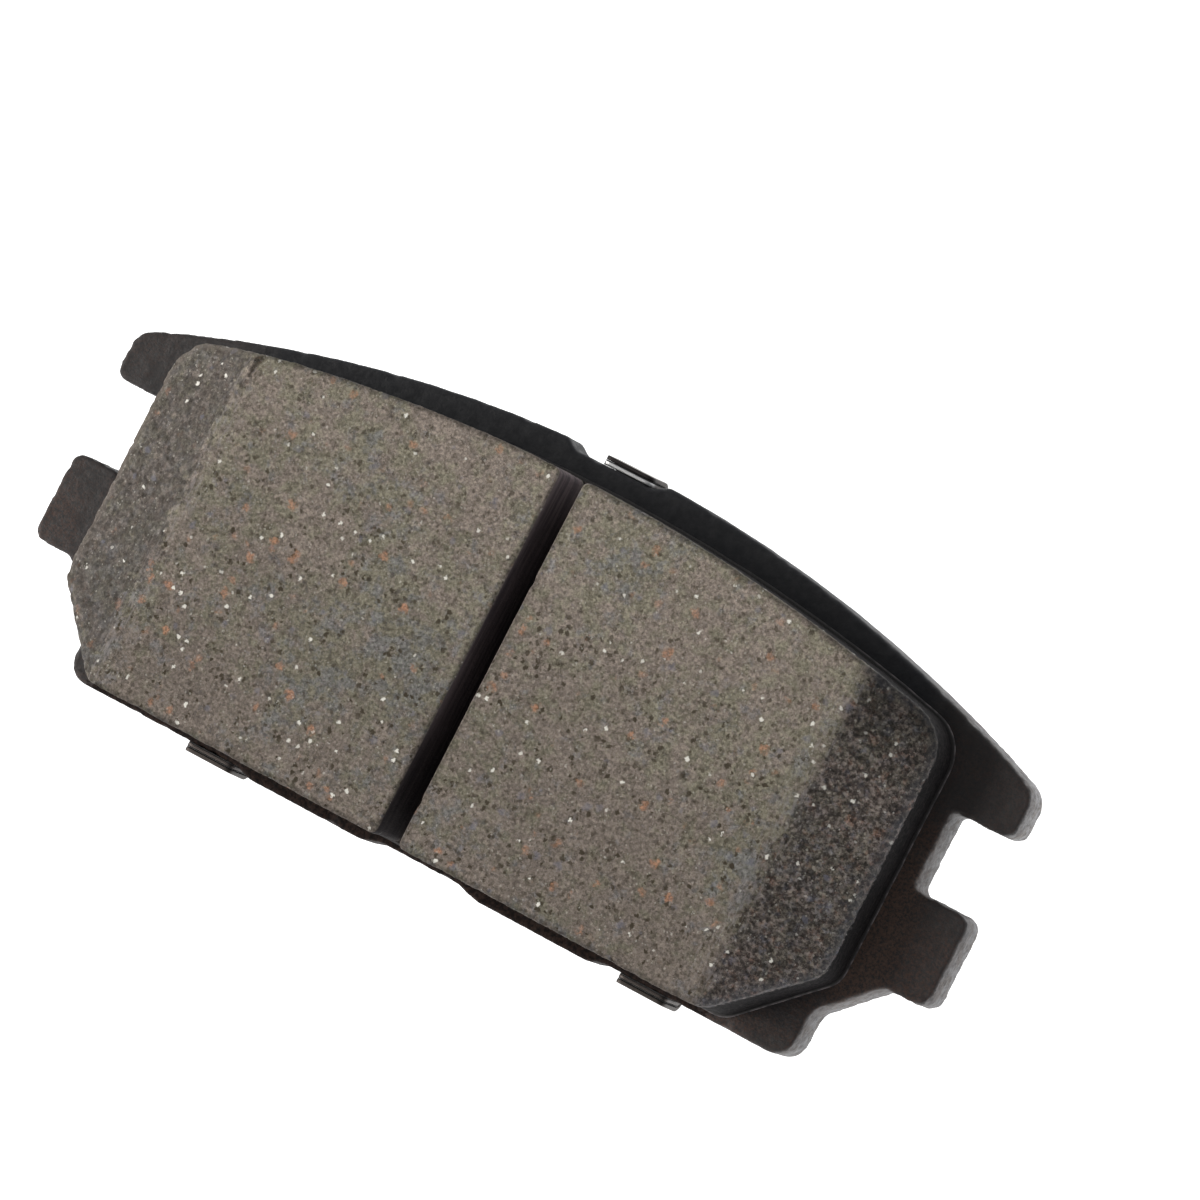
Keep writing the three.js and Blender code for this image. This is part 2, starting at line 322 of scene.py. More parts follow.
def lattice(loops, spacing, seed, low=None, high=None):
    """Points inside the loops in a slightly uneven triangular lattice, or in part of it."""
    rng = np.random.default_rng(seed)
    low = loops[0].min(0) if low is None else np.array(low)
    high = loops[0].max(0) if high is None else np.array(high)
    row_step = spacing * math.sqrt(3) / 2
    rows = np.arange(low[1], high[1], row_step)
    columns = np.arange(low[0], high[0], spacing)
    x, y = np.meshgrid(columns, rows)
    x = x + (np.arange(len(rows)) % 2)[:, None] * spacing / 2
    points = np.stack([x.ravel(), y.ravel()], axis=1)
    points += rng.uniform(-0.15, 0.15, points.shape) * spacing
    points = points[inside(points, loops)]
    return points[distances(points, loops) > 0.6 * spacing]


class Shell:
    """A closed surface in the making, in millimetres, with how far in each point lies."""

    def __init__(self):
        self.points = []
        self.inset = []
        self.faces = []

    def outline(self, ring):
        """A ring's places along X and Y."""
        return np.array([self.points[i][:2] for i in ring])

    def add(self, flat, height, inset):
        first = len(self.points)
        self.points.extend((x, y, height) for x, y in flat)
        self.inset.extend(np.broadcast_to(inset, len(flat)).tolist())
        return list(range(first, first + len(flat)))

    def skin(self, lower, upper):
        count = len(lower)
        for i in range(count):
            j = (i + 1) % count
            self.faces.append((lower[i], lower[j], upper[j], upper[i]))

    def wall(self, loop, profile):
        """A wall over the loop, through (inset, height) pairs. Gives its first and last rings."""
        normals = outward(loop)
        rings = [self.add(loop - normals * inset, height, inset) for inset, height in profile]
        for lower, upper in zip(rings, rings[1:]):
            self.skin(lower, upper)
        return rings[0], rings[-1]

    def cap(self, rings, inner, up):
        """Closes the surface between rings, through the inner points."""
        height = self.points[rings[0][0]][2]
        rims = [self.outline(ring) for ring in rings]
        around = distances(inner, rims) if len(inner) else 0
        ids = sum(rings, []) + self.add(inner, height, around + self.inset[rings[0][0]])
        edges, first = [], 0
        for ring in rings:
            count = len(ring)
            edges += [(first + i, first + (i + 1) % count) for i in range(count)]
            first += count
        flat = [Vector(self.points[i][:2]) for i in ids]
        made = delaunay_2d_cdt(flat, edges, [], 1, 1e-7)
        owner = [ids[sources[0]] for sources in made[3]]
        holes = [set(ring) for ring in rings[1:]]
        for triangle in made[2]:
            corners = [owner[i] for i in triangle]
            if not any(hole.issuperset(corners) for hole in holes):
                self.faces.append(corners if up else corners[::-1])

    def cap_both(self, walls, spacing, seed):
        """Caps both ends of an outer wall and the walls of its holes."""
        for end, up in ((0, False), (1, True)):
            rims = [wall[end] for wall in walls]
            inner = lattice([self.outline(rim) for rim in rims], spacing, seed + end)
            self.cap(rims, inner, up)

    def mesh(self, name):
        made = bpy.data.meshes.new(name)
        made.from_pydata((np.array(self.points) * MM).tolist(), [], self.faces)
        made.shade_smooth()
        return made


def rounded_wall(low, high, lower_roll, upper_roll, step=WALL_STEP):
    """(inset, height) pairs up a wall whose two edges are rounded."""
    angles = np.linspace(0, math.pi / 2, ROUND_STEPS + 1)
    lower = [(lower_roll * (1 - math.sin(a)), low + lower_roll * (1 - math.cos(a))) for a in angles]
    upper = [(upper_roll * (1 - math.cos(a)), high - upper_roll * (1 - math.sin(a))) for a in angles]
    steps = max(1, int((high - upper_roll - low - lower_roll) / step))
    heights = np.linspace(low + lower_roll, high - upper_roll, steps + 1)[1:-1]
    middle = [(0, height) for height in heights]
    first = (lower_roll + SUPPORT, low)
    last = (upper_roll + SUPPORT, high)
    return [first] + lower + middle + upper + [last]


def normals_of(mesh):
    normals = np.empty(len(mesh.vertices) * 3)
    mesh.vertex_normals.foreach_get("vector", normals)
    return normals.reshape(-1, 3)


def places_of(mesh):
    places = np.empty(len(mesh.vertices) * 3)
    mesh.vertices.foreach_get("co", places)
    return places.reshape(-1, 3) / MM


def place(mesh, points):
    mesh.vertices.foreach_set("co", (points * MM).ravel())
    mesh.update()


def store(mesh, name, values):
    """Keeps a value per point, which materials read by name."""
    attribute = mesh.attributes.new(name, "FLOAT", "POINT")
    attribute.data.foreach_set("value", np.asarray(values, np.float32))


def dents(points, directions, centres, radii, depths):
    """Points pushed in round each centre, and how deep each lies in its dent, from 0 to 1."""
    tree = kdtree.KDTree(len(points))
    for i, point in enumerate(points):
        tree.insert(point, i)
    tree.balance()
    pushed, deep = points.copy(), np.zeros(len(points))
    for centre, radius, depth in zip(centres, radii, depths):
        for _, i, distance in tree.find_range(centre, radius):
            share = 1 - (distance / radius) ** 2
            pushed[i] -= directions[i] * depth * share
            deep[i] = max(deep[i], share)
    return pushed, deep


def piece(name, mesh, material, body, nodes):
    made = bpy.data.objects.new(name, mesh)
    bpy.context.scene.collection.objects.link(made)
    mesh.materials.append(material)
    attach(made, body)
    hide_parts(*nodes)
    return made


# ---- materials ----


class Paint:
    """A node material whose textures are set out in millimetres of the row frame."""

    def __init__(self, name):
        self.material = bpy.data.materials.new(name)
        self.material.use_nodes = True
        self.tree = self.material.node_tree
        self.shader = self.tree.nodes["Principled BSDF"]
        here = self.node("ShaderNodeTexCoord")
        scaled = self.node("ShaderNodeVectorMath", operation="SCALE")
        self.link(here.outputs["Object"], scaled.inputs["Vector"])
        scaled.inputs["Scale"].default_value = 1 / MM
        self.here = scaled.outputs["Vector"]

    def node(self, kind, **settings):
        made = self.tree.nodes.new(kind)
        for name, value in settings.items():
            setattr(made, name, value)
        return made

    def link(self, output, socket):
        self.tree.links.new(output, socket)

    def put(self, value, socket):
        if isinstance(value, bpy.types.NodeSocket):
            self.link(value, socket)
        elif isinstance(value, tuple) and len(value) == 3 and socket.type == "RGBA":
            socket.default_value = (*value, 1)
        else:
            socket.default_value = value

    def set(self, **values):
        """Sets the shader's inputs, such as base_color, to a value or to another node's output."""
        for name, value in values.items():
            self.put(value, self.shader.inputs[name.replace("_", " ").title().replace("Ior", "IOR")])

    def math(self, operation, a, b):
        made = self.node("ShaderNodeMath", operation=operation)
        self.put(a, made.inputs[0])
        self.put(b, made.inputs[1])
        return made.outputs[0]

    def moved(self, shift, stretch=(1, 1, 1)):
        """The place moved by a shift, so that textures of different seeds differ."""
        made = self.node("ShaderNodeVectorMath", operation="MULTIPLY_ADD")
        self.link(self.here, made.inputs[0])
        made.inputs[1].default_value = stretch
        made.inputs[2].default_value = (shift, shift * 0.7, -shift)
        return made.outputs[0]

    def across(self):
        """The place along Y, in millimetres."""
        parts = self.node("ShaderNodeSeparateXYZ")
        self.link(self.here, parts.inputs[0])
        return parts.outputs["Y"]

    def noise(self, size, seed, detail=2.0, roughness=0.5, distortion=0.0, stretch=(1, 1, 1)):
        """Noise from 0 to 1 with features of that size."""
        made = self.node("ShaderNodeTexNoise")
        self.link(self.moved(seed * SEED_SHIFT, stretch), made.inputs["Vector"])
        self.put(1 / size, made.inputs["Scale"])
        self.put(detail, made.inputs["Detail"])
        self.put(roughness, made.inputs["Roughness"])
        self.put(distortion, made.inputs["Distortion"])
        return made.outputs[0]

    def cells(self, size, seed):
        """Distance in millimetres to the nearest of scattered grains, and two random numbers for each."""
        made = self.node("ShaderNodeTexVoronoi")
        self.link(self.moved(seed * SEED_SHIFT), made.inputs["Vector"])
        self.put(1 / size, made.inputs["Scale"])
        parts = self.node("ShaderNodeSeparateColor")
        self.link(made.outputs["Color"], parts.inputs[0])
        return self.math("MULTIPLY", made.outputs["Distance"], size), parts.outputs[0], parts.outputs[1]

    def between(self, value, low, high, start=0.0, end=1.0):
        """The value's smooth place between low and high, as a number from start to end."""
        made = self.node("ShaderNodeMapRange", interpolation_type="SMOOTHSTEP")
        for socket, number in zip(made.inputs, (value, low, high, start, end)):
            self.put(number, socket)
        return made.outputs[0]

    def mix(self, share, a, b):
        """A colour between a and b."""
        made = self.node("ShaderNodeMix", data_type="RGBA")
        self.put(share, made.inputs[0])
        self.put(a, made.inputs[6])
        self.put(b, made.inputs[7])
        return made.outputs[2]

    def blend(self, share, a, b):
        """A number between a and b."""
        made = self.node("ShaderNodeMix", data_type="FLOAT")
        self.put(share, made.inputs[0])
        self.put(a, made.inputs[2])
        self.put(b, made.inputs[3])
        return made.outputs[0]

    def stored(self, name):
        return self.node("ShaderNodeAttribute", attribute_name=name).outputs["Fac"]

    def tone(self, colour, factor):
        """The colour made lighter or darker by a factor."""
        made = self.node("ShaderNodeVectorMath", operation="SCALE")
        self.put(colour, made.inputs[0])
        self.put(factor, made.inputs["Scale"])
        return made.outputs[0]

    def bump(self, height, depth, strength):
        """A relief of that depth in millimetres."""
        made = self.node("ShaderNodeBump")
        self.put(height, made.inputs["Height"])
        made.inputs["Distance"].default_value = depth * MM
        made.inputs["Strength"].default_value = strength
        self.link(made.outputs["Normal"], self.shader.inputs["Normal"])


def grains(paint, size, seed, radius, soft, chosen, raggedness):
    """Scattered grains, 0 outside and 1 inside, and a random number for each.

    Size is how far apart they lie, and chosen is the share of them that is there.
    """
    at, draw, other = paint.cells(size, seed)
    ragged = paint.between(paint.noise(radius * 1.2, seed + 40, 3, 0.6), 0.3, 0.7, -raggedness, raggedness)
    reach = paint.between(other, 0, 1, radius * 0.45, radius)
    depth = paint.math("SUBTRACT", paint.math("ADD", at, ragged), reach)
    shape = paint.between(depth, -soft, soft * 0.5, 1, 0)
    return paint.math("MULTIPLY", shape, paint.between(draw, 1 - chosen, 1 - chosen + 0.02)), other


def compound_colour(paint):
    """Moulded friction compound: mineral grains, pores, copper and pale fibre ends.

    The face is ground flat. The bevels are darker and speckled, and the left one is rubbed smoother.
    """
    drift = paint.math("MULTIPLY", paint.math("SUBTRACT", paint.noise(15.0, 22, 2), 0.5), 0.45)
    cooler = paint.between(paint.across(), -24, 4, 0.04, 0.0)
    patches = paint.math("ADD", paint.math("ADD", paint.noise(2.4, 1, 6, 0.65), drift), cooler)
    base = paint.mix(paint.between(patches, 0.40, 0.60), OLIVE, MAUVE)
    patches = paint.math("ADD", paint.math("SUBTRACT", paint.noise(1.8, 2, 6, 0.65), drift), cooler)
    base = paint.mix(paint.between(patches, 0.53, 0.68, 0, 0.55), base, SLATE)
    grain = paint.between(paint.cells(0.30, 3)[1], 0, 1, 0.74, 1.24)
    fine = paint.between(paint.noise(0.34, 4, 4, 0.75), 0.34, 0.66, 0.72, 1.30)
    broad = paint.between(paint.noise(9.0, 5, 2), 0.3, 0.7, 0.95, 1.05)
    # Painted light: the compound is made lighter towards the top, as though more light fell there.
    painted_light_to_top = paint.between(paint.across(), -20, 20, 0.91, 1.21)
    base = paint.tone(base, paint.math("MULTIPLY", paint.math("MULTIPLY", grain, fine), broad))
    base = paint.tone(base, painted_light_to_top)
    brown = paint.between(paint.noise(0.50, 8, 6, 0.70), 0.52, 0.67, 0, 0.62)
    base = paint.mix(brown, base, BROWN_GRAIN)
    pale = paint.between(paint.noise(0.36, 9, 5, 0.75), 0.56, 0.70, 0, 0.42)
    base = paint.mix(pale, base, PALE_GRAIN)

    busy = paint.between(paint.across(), -4, 18, 1.0, 0.7)
    crowd = paint.math("MULTIPLY", paint.between(paint.noise(2.6, 10, 3), 0.40, 0.60, 0.45, 1.0), busy)
    # Painted shade: pores drawn as dark spots, and the dented pits and the nick darkened by how deep each
    # point lies in them.
    pore, _ = grains(paint, 0.76, 11, 0.35, 0.13, 0.55, 0.16)
    pit = paint.math("MULTIPLY", paint.stored("pit"), 0.8)
    hollow_shade = paint.math("MAXIMUM", paint.math("MULTIPLY", pore, crowd), pit)
    base = paint.mix(hollow_shade, base, PORE_SHADE)

    copper, draw = grains(paint, 2.3, 6, 0.60, 0.30, 0.52, 0.26)
    mottled = paint.noise(0.3, 25, 4, 0.7)
    orange = paint.mix(paint.between(mottled, 0.4, 0.6), DULL_COPPER, BRIGHT_COPPER)
    copper = paint.math("MULTIPLY", copper, paint.between(draw, 0, 1, 0.35, 0.9))
    copper = paint.math("MULTIPLY", copper, busy)
    copper = paint.math("MULTIPLY", copper, paint.between(mottled, 0.35, 0.6, 0.5, 1.0))
    base = paint.mix(copper, base, orange)

    rubbed = paint.stored("rubbed")
    patchy = paint.math("SUBTRACT", paint.noise(1.2, 12, 6, 0.65), 0.5)
    patchy = paint.math("MULTIPLY", patchy, paint.blend(rubbed, 2.2, 3.6))
    bevel = paint.between(paint.math("ADD", paint.stored("bevel"), patchy), 0.2, 0.8)
    speckle = paint.between(paint.noise(0.48, 13, 6, 0.74), 0.40, 0.60, 0.26, 1.0)
    clumps = paint.between(paint.cells(0.50, 26)[1], 0, 1, 0.58, 1.36)
    speckle = paint.math("MULTIPLY", speckle, clumps)
    raw = paint.mix(0.4, base, RAW)
    rusty = paint.between(paint.noise(0.8, 23, 5, 0.7), 0.52, 0.66, 0, 0.45)
    raw = paint.mix(rusty, raw, RUSTY)
    bluish = paint.between(paint.noise(1.0, 24, 5, 0.7), 0.52, 0.66, 0, 0.45)
    raw = paint.mix(bluish, raw, BLUISH)
    blotches = paint.between(paint.noise(1.1, 27, 6, 0.72), 0.40, 0.60)
    worn = paint.mix(blotches, RUBBED_DARK, RUBBED_PALE)
    raw = paint.mix(paint.math("MULTIPLY", rubbed, 0.45), raw, worn)
    dappled = paint.blend(blotches, 0.30, 0.54)
    speckle = paint.blend(paint.math("MULTIPLY", rubbed, 0.50), speckle, dappled)
    share = paint.math("MULTIPLY", bevel, paint.blend(rubbed, 1.0, 0.82))
    base = paint.mix(share, base, paint.tone(raw, speckle))
    brushed = paint.between(paint.noise(0.40, 21, 4, 0.6, stretch=(1, 0.2, 1)), 0.50, 0.66, 0, 0.45)
    base = paint.mix(paint.math("MULTIPLY", brushed, paint.stored("break")), base, BRUSHED)

    lilac, _ = grains(paint, 2.4, 7, 0.50, 0.25, 0.6, 0.2)
    base = paint.mix(paint.math("MULTIPLY", lilac, 0.36), base, LILAC)
    speck, _ = grains(paint, 0.50, 14, 0.13, 0.05, 0.4, 0.05)
    base = paint.mix(paint.math("MULTIPLY", speck, 0.4), base, SPECK)
    spot, shade = grains(paint, 1.05, 15, 0.25, 0.09, 0.24, 0.11)
    glint = paint.math("MULTIPLY", spot, paint.between(shade, 0.1, 1, 0.25, 1.0))
    return paint.mix(glint, base, GLINT), glint


def friction_material():
    paint = Paint("friction_compound")
    colour, glint = compound_colour(paint)
    # Painted sheen along the bevels' rounded rim, in soft patches.
    sheen_patches = paint.between(paint.noise(1.4, 16, 5, 0.7), 0.3, 0.7, 0.4, 1.0)
    rim_sheen = paint.mix(paint.stored("rubbed"), RIM_SHEEN_BLUE, RIM_SHEEN_BROWN)
    colour = paint.mix(paint.math("MULTIPLY", paint.stored("rim"), sheen_patches), colour, rim_sheen)
    colour = paint.tone(colour, paint.blend(paint.stored("dim"), 1.0, 0.45))
    streaks = paint.between(paint.noise(0.7, 17, 4, 0.6, stretch=(1, 0.06, 1)), 0.35, 0.65)
    sawn = paint.mix(streaks, SAWN_DARK, SAWN_PALE)
    # Painted shade: the slot walls are darker towards the slot's lower, open end and lighter further up.
    sawn = paint.tone(sawn, paint.between(paint.across(), -24, -4, 0.28, 1.45))
    colour = paint.mix(paint.stored("slot"), colour, sawn)
    ragged = paint.between(paint.noise(0.5, 18, 4, 0.6), 0.3, 0.7, -0.4, 0.4)
    painted = paint.between(paint.math("ADD", paint.stored("painted"), ragged), 0.35, 0.7)
    colour = paint.mix(painted, colour, coat_colour(paint))
    rough = paint.blend(painted, paint.blend(glint, 0.85, 0.5), 0.9)
    paint.set(base_color=colour, roughness=rough, specular_ior_level=0.14)
    relief = paint.math("ADD", paint.noise(0.18, 19, 3, 0.65), paint.noise(0.5, 20, 2))
    paint.bump(relief, 0.07, 0.9)
    return paint.material


def coat_colour(paint):
    """Dusty black paint over the sides of the lining and underlayer."""
    dusting = paint.between(paint.noise(0.4, 31, 3), 0.4, 0.7)
    return paint.mix(dusting, SIDE_BLACK, SIDE_DUSTY)


def plate_material():
    """Black coat with reddish dust and a sooty lower edge. On the right ends, the edges facing +X carry a
    painted reflection coloured like bare steel, and beside the lining's right end painted light lifts the
    shade.
    """
    paint = Paint("painted_plate")
    dust = paint.between(paint.noise(0.30, 1, 5, 0.7), 0.36, 0.66)
    where = paint.between(paint.noise(6.0, 2, 4, 0.6), 0.35, 0.62, 0.3, 1.0)
    ear = paint.stored("ear")
    low = paint.between(paint.across(), 2, 10, 1.0, 0.45)
    dusty = paint.math("MULTIPLY", paint.math("MULTIPLY", dust, where), paint.math("MULTIPLY", ear, low))
    beside = paint.stored("beside")
    clean = paint.mix(ear, COAT, EAR_COAT)
    base = paint.mix(dusty, clean, DUST)
    # Beside the lining's right end: reddish dust, and painted light lifting the shade the lining casts.
    base = paint.mix(paint.math("MULTIPLY", beside, dust), base, BESIDE_DUST_AND_LIGHT)
    fleck = paint.between(paint.noise(0.30, 3, 4, 0.75), 0.64, 0.76, 0, 0.4)
    base = paint.mix(fleck, base, FLECK)
    # Painted reflection: the sheared edges facing +X on the right ends are coloured light grey like steel,
    # broken up by noise and lighter towards the top.
    worn = paint.between(paint.noise(0.7, 7, 6, 0.75), 0.38, 0.58, 0.40, 1.0)
    reflection_mottling = paint.between(paint.noise(1.6, 8, 5, 0.7), 0.45, 0.62)
    bare = paint.mix(reflection_mottling, EDGE_REFLECTION, EDGE_REFLECTION_DULL)
    bare = paint.tone(bare, paint.between(paint.across(), 4, 10, 1.0, 1.4))
    base = paint.mix(paint.math("MULTIPLY", paint.stored("sheared"), worn), base, bare)
    ragged = paint.between(paint.noise(0.7, 9, 5, 0.7), 0.3, 0.7, -0.3, 0.3)
    sooty = paint.between(paint.math("ADD", paint.stored("sooty"), ragged), 0.3, 0.7)
    smeared = paint.between(paint.noise(0.5, 10, 5, 0.7), 0.4, 0.62)
    soot = paint.mix(smeared, SOOT, SMEARED_SOOT)
    base = paint.mix(sooty, base, soot)
    rough = paint.between(paint.noise(0.9, 4, 4, 0.6), 0.3, 0.7, 0.54, 0.74)
    paint.set(base_color=base, roughness=rough, specular_ior_level=paint.blend(sooty, 0.36, 0.07))
    waves = paint.math("MULTIPLY", paint.noise(1.3, 6, 2), 1.2)
    paint.bump(paint.math("ADD", paint.noise(0.32, 5, 4, 0.65), waves), 0.08, 0.9)
    return paint.material


def underlayer_material():
    paint = Paint("underlayer_compound")
    mottled = paint.between(paint.noise(0.5, 1, 3), 0.4, 0.6)
    base = paint.mix(mottled, UNDERLAYER_DARK, UNDERLAYER_PALE)
    # Painted shade: the underlayer is darker towards the bottom, where it shows at the slot's lower, open
    # end.
    base = paint.tone(base, paint.between(paint.across(), -24, -4, 0.35, 1.0))
    painted = paint.stored("painted")
    colour = paint.mix(painted, base, coat_colour(paint))
    paint.set(base_color=colour, roughness=paint.blend(painted, 0.85, 0.9), specular_ior_level=0.14)
    paint.bump(paint.noise(0.3, 2, 3), 0.08, 0.9)
    return paint.material


def bond_material():
    paint = Paint("bond_resin")
    # Painted highlight: the bead's edge is pale in patches, mostly towards the right end.
    pale = paint.between(paint.noise(0.9, 1, 3), 0.40, 0.62)
    base = paint.mix(paint.stored("lip"), RESIN, paint.mix(pale, LIP_DARK, LIP_HIGHLIGHT))
    paint.set(base_color=base, roughness=paint.between(paint.noise(0.5, 2), 0.3, 0.7, 0.42, 0.6))
    paint.bump(paint.noise(0.4, 3, 2), 0.02, 0.6)
    return paint.material


def rubber_material():
    paint = Paint("shim_rubber")
    bloom = paint.between(paint.noise(0.4, 1, 3), 0.4, 0.65)
    base = paint.mix(bloom, RUBBER, RUBBER_BLOOM)
    paint.set(base_color=base, roughness=paint.between(paint.noise(1.3, 2), 0.3, 0.7, 0.72, 0.9))
    paint.bump(paint.noise(0.2, 3, 2), 0.02, 0.6)
    return paint.material


def steel_material(name, colours, rough):
    """Cold-rolled sheet: long rolling marks along the pad, with dull patches, fine scratches and stains."""
    tint, sheared, worn = colours
    paint = Paint(name)
    rolled = paint.noise(0.16, 5, 3, stretch=(0.04, 1.0, 1.0))
    dull = paint.between(paint.noise(5.0, 1, 6, 0.65), 0.30, 0.70)
    lanes = paint.between(rolled, 0.3, 0.7, 0.84, 1.08)
    base = paint.tone(paint.mix(dull, tint, tuple(0.78 * c for c in tint)), lanes)
    scratch = paint.between(paint.noise(0.25, 2, 4, 0.7, 1.5), 0.66, 0.74, 0, 0.45)
    base = paint.mix(scratch, base, tuple(0.55 * c for c in tint))
    stain = paint.between(paint.noise(0.6, 3, 4, 0.65), 0.55, 0.72, 0, 0.6)
    base = paint.mix(stain, base, SHEET_STAIN)
    tip = paint.mix(paint.stored("worn"), sheared, worn)
    base = paint.mix(paint.stored("sheared"), base, tip)
    satin = paint.between(rolled, 0.3, 0.7, rough - 0.05, rough + 0.08)
    satin = paint.math("ADD", satin, paint.math("MULTIPLY", dull, 0.06))
    paint.set(base_color=base, roughness=satin, metallic=1.0)
    paint.bump(rolled, 0.01, 0.5)
    return paint.material


# ---- the pieces ----


def make_plate(material):
    node = "backing_plate"
    heights = levels(node)
    loops = [resampled(loop) for loop in outlines(node, heights[1])]
    profile = rounded_wall(heights[0], heights[-1], PLATE_BACK_ROLL, PLATE_FRONT_ROLL)
    shell = Shell()
    walls = [shell.wall(loop, profile) for loop in loops]
    shell.cap_both(walls, PLATE_SPACING, 11)
    mesh = shell.mesh("plate")
    points, normals = places_of(mesh), normals_of(mesh)
    wall = 1 - smoothstep(0.5, 0.9, np.abs(normals[:, 2]))
    tear = TEAR_DEPTH + TEAR_MORE_AT_ENDS * smoothstep(*TORN_OUT, np.abs(points[:, 0]))
    push = ripple(points, 1.6, 1, 2) * PLATE_WAVE + wall * ripple(points, 0.7, 2, 2) * tear
    points = points + normals * push[:, None]
    rng = np.random.default_rng(12)
    on_roll = (np.abs(normals[:, 2]) > 0.15) & (np.abs(normals[:, 2]) < 0.85) & (points[:, 2] > heights[1])
    nicks = points[on_roll]
    nicks = nicks[rng.random(len(nicks)) < NICKED_SHARE]
    sizes = rng.uniform(*NICKED_RADII, len(nicks))
    points, _ = dents(points, normals, nicks, sizes, sizes * NICKED_DEPTH)
    place(mesh, points)

    x, y = points[:, 0], points[:, 1]
    store(mesh, "ear", np.maximum(smoothstep(*EAR_OUT, np.abs(x)), smoothstep(*EAR_DOWN, -y)))
    along = smoothstep(*BESIDE_X, x) * (1 - smoothstep(*BESIDE_END_X, x))
    across = smoothstep(*BESIDE_Y, y) * (1 - smoothstep(*BESIDE_END_Y, y))
    store(mesh, "beside", along * across)
    strip = smoothstep(*SOOTY_DOWN, -y) * (1 - smoothstep(*SOOTY_END_X, x))
    strip = strip * (1 - FOOT_CLEANER * smoothstep(*FOOT_LEFT, -x))
    store(mesh, "sooty", strip * smoothstep(-0.5, 0.0, normals[:, 2]))
    deeper = (heights[-1] - points[:, 2]) / (heights[-1] - heights[0])
    # The painted reflection goes on the walls facing +X on the right ends, stronger towards the back face.
    reflecting_edge = wall * smoothstep(0.0, 0.5, normals[:, 0]) * smoothstep(*SHEARED_X, x)
    store(mesh, "sheared", reflecting_edge * (0.45 + 0.55 * smoothstep(0.1, 0.7, deeper)))
    piece("plate", mesh, material, "pad", [node])


